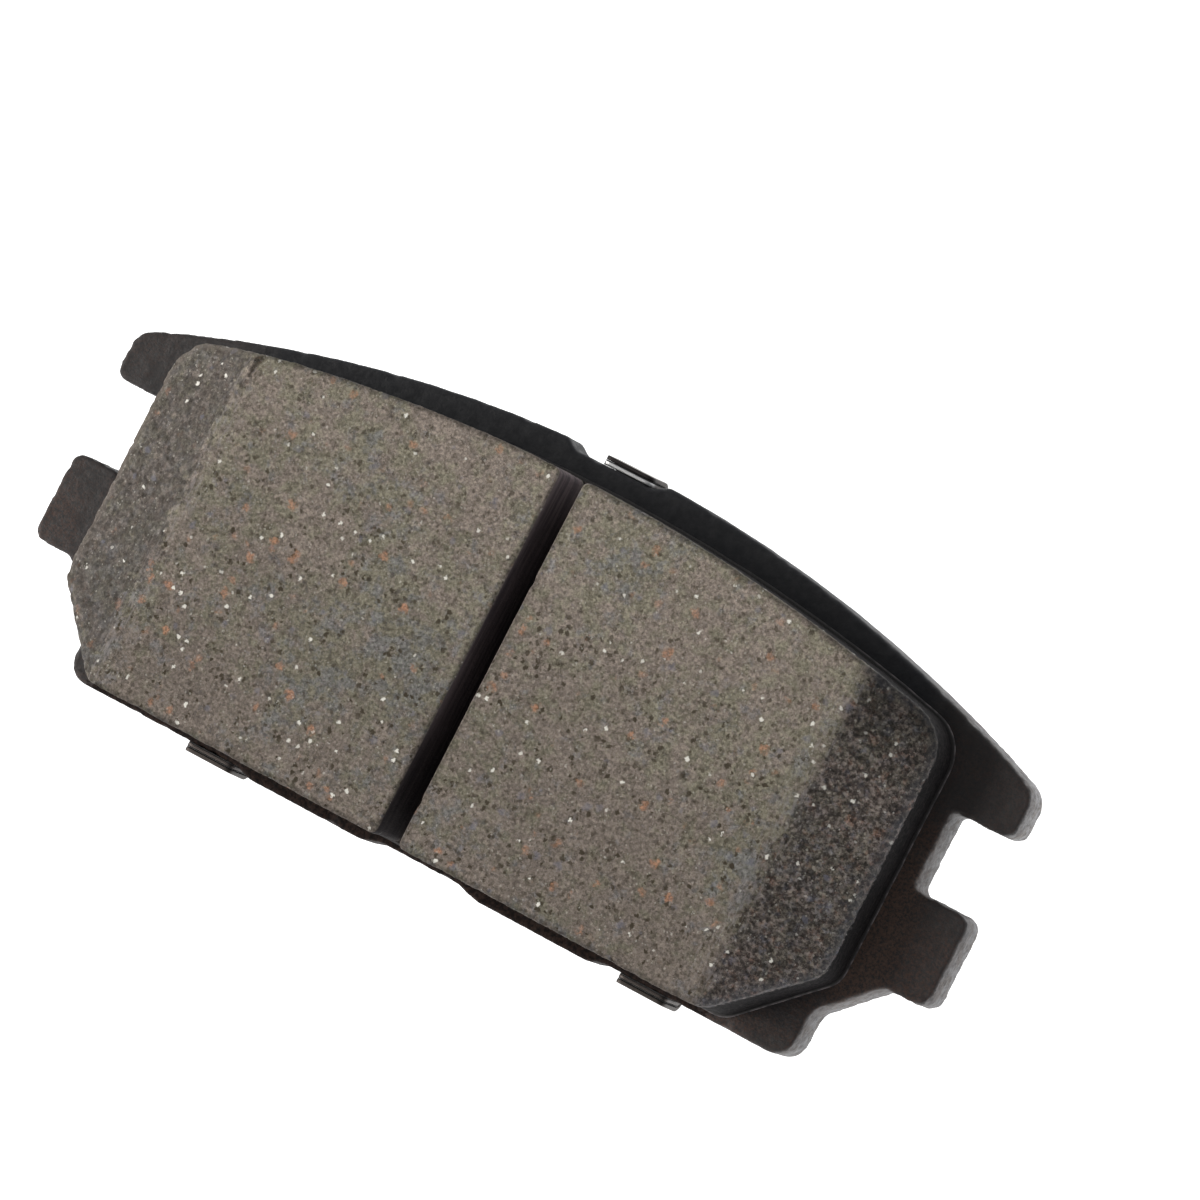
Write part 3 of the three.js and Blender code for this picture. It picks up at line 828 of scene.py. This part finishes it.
def make_segment(side, seed, material):
    """One half of the lining: its flat face breaks into a bevel along a wandering line."""
    node = "friction_segment_" + side
    points = cad_points(node)
    low, top = points[:, 2].min(), points[:, 2].max()
    reach = np.abs(points[:, 0])
    bevel_from = reach[points[:, 2] > top - SAME].max()
    end_top = points[reach > reach.max() - SAME][:, 2].max()
    slot_side = points[np.argmin(reach), 0]
    slope = (top - end_top) / (reach.max() - bevel_from)

    def past_bevel(flat):
        wander = ripple(np.c_[flat * (0, 1), np.zeros(len(flat))], 7.0, seed, 2) * BEVEL_WANDER
        return np.abs(flat[:, 0]) - bevel_from - wander

    loop = resampled(outlines(node, low)[0])
    shell = Shell()
    first, last = shell.wall(loop, rounded_wall(low, top, SMALL_ROLL, FACE_EDGE))
    shell.cap([first], lattice([shell.outline(first)], BASE_SPACING, seed), False)
    shell.cap([last], lattice([shell.outline(last)], FACE_SPACING, seed + 1), True)
    inset = np.array(shell.inset)
    mesh = shell.mesh("friction_" + side)

    points, normals = places_of(mesh), normals_of(mesh)
    past = past_bevel(points[:, :2])
    drop = slope * (past + np.hypot(past, BEVEL_BREAK)) / 2
    on_bevel = smoothstep(*BEVEL_BLEND, past)
    share = (points[:, 2] - low) / (top - low)
    points[:, 2] -= drop * share
    is_face = smoothstep(0.85, 0.97, share) * smoothstep(0.05, 0.25, inset)
    wall = (1 - is_face) * smoothstep(0, 0.1, share)
    in_slot = wall * (1 - smoothstep(0.5, 1.2, np.abs(points[:, 0] - slot_side)))
    relief = ripple(points, 0.42, seed, 2) * (GRIT + BEVEL_GRIT * on_bevel)
    relief = relief + ripple(points, 5.0, seed, 1) * FACE_WAVE
    points[:, 2] -= BEVEL_SAG * on_bevel * (1 - smoothstep(0.0, BEVEL_SAG_REACH, inset)) * share
    rough_wall = ripple(points, 2.6, 3, 2) * SIDE_WAVE + ripple(points, 0.6, 4, 2) * SIDE_GRIT
    push = is_face * relief + wall * rough_wall * (1 - SAWN_CALM * in_slot)
    points = points + normals * push[:, None]

    rng = np.random.default_rng(seed)
    face_points = points[is_face > 0.9]
    more_on_bevel = 0.35 + 0.65 * on_bevel[is_face > 0.9]
    pits = face_points[rng.random(len(face_points)) < PIT_SHARE * more_on_bevel]
    sizes = rng.uniform(*PIT_RADII, len(pits))
    up = np.tile((0.0, 0.0, 1.0), (len(points), 1))
    points, pit = dents(points, up, pits, sizes, sizes * rng.uniform(*PIT_DEPTHS, len(pits)))

    rim_points = points[(inset > 0.02) & (inset < FACE_EDGE) & (share > 0.9)]
    off_slot = np.abs(np.abs(rim_points[:, 0]) - abs(slot_side)) > 1.0
    chips = rim_points[rng.random(len(rim_points)) < CHIP_SHARE + CHIP_MORE_AT_RIM * off_slot]
    sizes = rng.uniform(*CHIP_RADII, len(chips))
    slanted = normals + (0, 0, 1)
    slanted /= np.linalg.norm(slanted, axis=1, keepdims=True)
    points, _ = dents(points, slanted, chips, sizes, sizes * CHIP_DEPTH)
    if side == "left":
        on_break = rim_points[np.abs(np.abs(rim_points[:, 0]) - bevel_from) < 0.6]
        start = on_break[np.argmax(on_break[:, 1])]
        run = start + np.linspace(0, 1, NICK_STEPS)[:, None] * NICK_RUN
        radii = np.linspace(*NICK_RADII, NICK_STEPS)
        points, nick = dents(points, up, run, radii, np.full(NICK_STEPS, NICK_DEPTH))
        pit = np.maximum(pit, nick)
    place(mesh, points)

    store(mesh, "pit", pit * is_face)
    store(mesh, "bevel", on_bevel)
    store(mesh, "break", smoothstep(-3.0, -0.5, past) * (1 - smoothstep(0.0, 3.0, past)))
    store(mesh, "painted", (1 - smoothstep(0.70, 0.95, share)) * (1 - in_slot))
    bare = smoothstep(0.0, 0.16, inset) * smoothstep(0.85, 0.95, share)
    store(mesh, "slot", (1 - bare) * in_slot)
    store(mesh, "rubbed", np.full(len(points), float(side == "left")))
    # Where the painted sheen on the rim shows: along both bevels, and on the left only towards the top.
    rim_sheen = np.where(points[:, 0] < 0, smoothstep(-18, -8, points[:, 1]), 1.0)
    store(mesh, "rim", 0.5 * (1 - smoothstep(0.2, 1.3, inset)) * on_bevel * rim_sheen)
    edge = 0.9 * (1 - smoothstep(0.05, 0.8, inset)) * (1 - on_bevel)
    corner = smoothstep(6, 15, points[:, 1]) * (points[:, 0] > 0) * on_bevel
    store(mesh, "dim", np.maximum(edge, corner) * (1 - in_slot))
    piece("friction_" + side, mesh, material, "pad", [node])


def make_underlayer(material):
    """The layer under the friction compound, with the pins that fill the plate's holes."""
    node = "underlayer"
    plate_face = levels("backing_plate")[-1]
    heights = levels(node)
    low = min(h for h in heights if h > plate_face)
    top = heights[-1]
    loop = resampled(outlines(node, top)[0])
    pins = [resampled(loop) for loop in outlines(node, heights[0])]
    pins = [pin if signed_area(pin) > 0 else pin[::-1] for pin in pins]
    shell = Shell()
    first, last = shell.wall(loop, rounded_wall(low, top, SMALL_ROLL, SMALL_ROLL))
    shell.cap([last], lattice([shell.outline(last)], UNDERLAYER_SPACING, 21), True)
    roots = []
    for number, pin in enumerate(pins):
        foot, root = shell.wall(pin, rounded_wall(heights[0], low, PIN_ROLL, 0)[:-1])
        shell.cap([foot], lattice([shell.outline(foot)], PIN_SPACING, 30 + number), False)
        roots.append(root)
    rims = [first] + roots
    shell.cap(rims, lattice([shell.outline(rim) for rim in rims], UNDERLAYER_SPACING, 22), False)
    mesh = shell.mesh("underlayer_base")
    points, normals = places_of(mesh), normals_of(mesh)
    wall = (1 - smoothstep(0.3, 0.8, np.abs(normals[:, 2]))) * (points[:, 2] > plate_face)
    push = wall * (ripple(points, 2.6, 3, 2) * 0.05 + ripple(points, 0.6, 4, 2) * 0.025)
    push += (1 - wall) * ripple(points, 0.9, 5, 2) * 0.01
    place(mesh, points + normals * push[:, None])
    store(mesh, "painted", wall)
    piece("underlayer_base", mesh, material, "pad", [node])


def make_bond(material):
    """The film of resin, squeezed out a little round the lining's foot."""
    node = "bond_layer"
    low, top = levels(node)
    loops = [resampled(loop) for loop in outlines(node, top)]
    wander = ripple(np.c_[loops[0], np.zeros(len(loops[0]))], 3.0, 8, 3) * BOND_WANDER
    loops[0] += outward(loops[0]) * wander[:, None]
    shell = Shell()
    profile = [(0.06, low), (0.0, low + 0.04), (0.02, (low + top) / 2), (0.08, top - 0.03), (0.2, top)]
    walls = [shell.wall(loop, profile) for loop in loops]
    shell.cap_both(walls, BOND_SPACING, 41)
    mesh = shell.mesh("bond_bead")
    # The lip is the bead's outer edge, which carries the painted highlight, mostly on the right.
    lip = 1 - smoothstep(0.03, 0.12, np.array(shell.inset))
    store(mesh, "lip", lip * (0.1 + 0.9 * smoothstep(*BOND_LIP_X, np.array(shell.points)[:, 0])))
    piece("bond_bead", mesh, material, "pad", [node])


def tabs_of(points, sheet_top):
    """Each tab's lowest and highest corner, above the sheet."""
    legs = points[points[:, 2] > sheet_top + TAB_LEG_FROM]
    groups = [legs[legs[:, 1] > 0]] + [legs[(legs[:, 1] < 0) & (legs[:, 0] * side > 0)] for side in (-1, 1)]
    return [(group.min(0), group.max(0)) for group in groups]


def tip(x_from, x_to, y, corner):
    """Points across a tab's tip, from one side to the other, with both corners rounded."""
    across, back = math.copysign(corner, x_to - x_from), math.copysign(corner, y)
    angles = np.linspace(0, math.pi / 2, TAB_TIP_STEPS)
    start = [(x_from + across * (1 - math.cos(a)), y - back * (1 - math.sin(a))) for a in angles]
    end = [(x_to - across * (1 - math.sin(a)), y - back * (1 - math.cos(a))) for a in angles]
    return start + end


def make_shim(name, node, edge_roll, lean, seed, material, body, slot):
    """One shim layer: cut flat with its tabs laid out, then folded up to grip the plate's edges."""
    points = cad_points(node)
    end = points[points[:, 0] > points[:, 0].max() - SAME]
    low, top = end[:, 2].min(), end[:, 2].max()
    tabs = tabs_of(points, top)
    plate_back = levels("backing_plate")[0]
    inner_radius = SHIM_BEND_RADIUS + plate_back - top
    middle_radius = inner_radius + (top - low) / 2
    quarter = middle_radius * math.pi / 2
    flat = outlines(node, low)[0]
    starts = (flat[:, 1].min(), flat[:, 1].max())
    leg = points[:, 2].max() - top - inner_radius

    blank = []
    for i, (x, y) in enumerate(flat):
        ending = [start for start in starts if abs(y - start) < SAME]
        after = flat[(i + 1) % len(flat)]
        if not ending:
            blank.append((x, y))
        elif abs(after[1] - y) < SAME:
            blank += tip(x, after[0], y + math.copysign(quarter + leg, y), TAB_TIP_CORNER)
    loop = resampled(np.array(blank))

    shell = Shell()
    first, last = shell.wall(loop, rounded_wall(low, top, edge_roll, edge_roll, 0.2))
    for rim, up in ((first, False), (last, True)):
        edge = [shell.outline(rim)]
        sheet = lattice(edge, SHIM_SPACING, seed)
        clear_of_bends = (sheet[:, 1] > starts[0] + SHIM_SPACING) & (sheet[:, 1] < starts[1] - SHIM_SPACING)
        inner = [sheet[clear_of_bends]]
        for tab_low, tab_high in tabs:
            outer = math.copysign(60, tab_low[1])
            near = starts[0] + 1 if outer < 0 else starts[1] - 1
            box_low = (tab_low[0] - 0.2, min(near, outer))
            box_high = (tab_high[0] + 0.2, max(near, outer))
            inner.append(lattice(edge, TAB_SPACING, seed + 1, box_low, box_high))
        shell.cap([rim], np.vstack(inner), up)
    mesh = shell.mesh(name)
    points = places_of(mesh)
    beyond_all = np.zeros(len(points))

    for start, side in zip(starts, (-1, 1)):
        past = (points[:, 1] - start) * side
        bent = past > 0
        radius = inner_radius + top - points[:, 2]
        angle = np.clip(past / middle_radius, 0, math.pi / 2)
        beyond = np.clip(past - quarter, 0, None)
        y = start + side * (radius * np.sin(angle) - lean * beyond / leg)
        z = top + inner_radius - radius * np.cos(angle) + beyond
        beyond_all = np.maximum(beyond_all, beyond)
        points[bent, 1] = y[bent]
        points[bent, 2] = z[bent]
    place(mesh, points)
    store(mesh, "sheared", 1 - smoothstep(0.4 * edge_roll, edge_roll, np.array(shell.inset)))
    store(mesh, "worn", (points[:, 1] > 0) * smoothstep(0.6, 0.9, beyond_all / leg))
    piece(name, mesh, material, body, [node])


def make_floor():
    paint = Paint("pale_table")
    mottle = paint.between(paint.noise(60.0, 1, 2), 0.3, 0.7)
    paint.set(base_color=paint.mix(mottle, (0.24, 0.24, 0.24), (0.26, 0.26, 0.26)))
    paint.set(roughness=0.9, specular_ior_level=0.0, emission_color=(1, 1, 1), emission_strength=1.4)
    rows = FLOOR_ROWS
    lines = np.linspace(-FLOOR_HALF, FLOOR_HALF, rows + 1)
    height = cad_bounds[0].z / MM - FLOOR_GAP
    points = [(x * MM, y * MM, height * MM) for y in lines for x in lines]
    faces = []
    for row in range(rows):
        for column in range(rows):
            i = row * (rows + 1) + column
            faces.append((i, i + 1, i + rows + 2, i + rows + 1))
    mesh = bpy.data.meshes.new("floor")
    mesh.from_pydata(points, [], faces)
    mesh.materials.append(paint.material)
    floor = bpy.data.objects.new("floor", mesh)
    bpy.context.scene.collection.objects.link(floor)


def make_lamp(name, direction, distance, size, power):
    lamp = bpy.data.lights.new(name, "AREA")
    lamp.shape = "RECTANGLE"
    lamp.size, lamp.size_y = size
    lamp.energy = power
    lamp.color = LAMP_TINT
    made = bpy.data.objects.new(name, lamp)
    bpy.context.scene.collection.objects.link(made)
    towards = Vector(direction).normalized()
    made.location = towards * distance
    made.rotation_euler = towards.to_track_quat("Z", "Y").to_euler()


def make_world():
    """A pale room with a dim ceiling."""
    world = bpy.data.worlds.new("studio")
    bpy.context.scene.world = world
    world.use_nodes = True
    nodes, links = world.node_tree.nodes, world.node_tree.links
    direction = nodes.new("ShaderNodeTexCoord")
    parts = nodes.new("ShaderNodeSeparateXYZ")
    links.new(direction.outputs["Generated"], parts.inputs[0])
    rise = nodes.new("ShaderNodeMapRange")
    rise.interpolation_type = "SMOOTHSTEP"
    links.new(parts.outputs["Z"], rise.inputs["Value"])
    rise.inputs["From Min"].default_value = 0.0
    rise.inputs["From Max"].default_value = WALL_TOP
    rise.inputs["To Min"].default_value = WALL_GLOW
    rise.inputs["To Max"].default_value = CEILING_GLOW
    links.new(rise.outputs["Result"], nodes["Background"].inputs["Strength"])
    nodes["Background"].inputs["Color"].default_value = (*ROOM_TINT, 1)


def make_camera():
    data = bpy.data.cameras.new("camera")
    data.sensor_width = 36
    data.lens = CAMERA_LENS
    data.clip_start, data.clip_end = 0.01, 10
    camera = bpy.data.objects.new("camera", data)
    bpy.context.scene.collection.objects.link(camera)
    turn = Matrix.Rotation(math.radians(CAMERA_AZIMUTH), 4, "Z")
    tilt = Matrix.Rotation(math.radians(CAMERA_TILT), 4, "Y")
    roll = Matrix.Rotation(math.radians(CAMERA_ROLL), 4, "Z")
    back = Matrix.Translation((0, 0, CAMERA_DISTANCE * MM))
    camera.matrix_world = Matrix.Translation(Vector(CAMERA_AIM) * MM) @ turn @ tilt @ back @ roll
    bpy.context.scene.camera = camera


make_camera()
make_world()
make_floor()
for lamp in LAMPS:
    make_lamp(*lamp)

make_plate(plate_material())
make_bond(bond_material())
make_underlayer(underlayer_material())
friction = friction_material()
make_segment("left", 5, friction)
make_segment("right", 6, friction)

rubber = rubber_material()
steel = steel_material("shim_steel", STEEL, rough=0.42)
stainless = steel_material("stainless_shim", STAINLESS, rough=0.46)
coat_finish = rubber, "inner_shim", "shim_rubber"
core_finish = steel, "inner_shim", "shim_steel"
outer_finish = stainless, "outer_shim", "stainless_shim"
make_shim("inner_shim_rubber_front", "inner_shim_front_coat", COAT_ROLL, GRIP, 51, *coat_finish)
make_shim("inner_shim_sheet", "inner_shim_core", CORE_ROLL, GRIP, 52, *core_finish)
make_shim("inner_shim_rubber_back", "inner_shim_back_coat", COAT_ROLL, GRIP, 53, *coat_finish)
make_shim("outer_shim_sheet", "outer_shim", OUTER_ROLL, 2 * GRIP, 54, *outer_finish)

bpy.context.scene.view_settings.view_transform = "Standard"
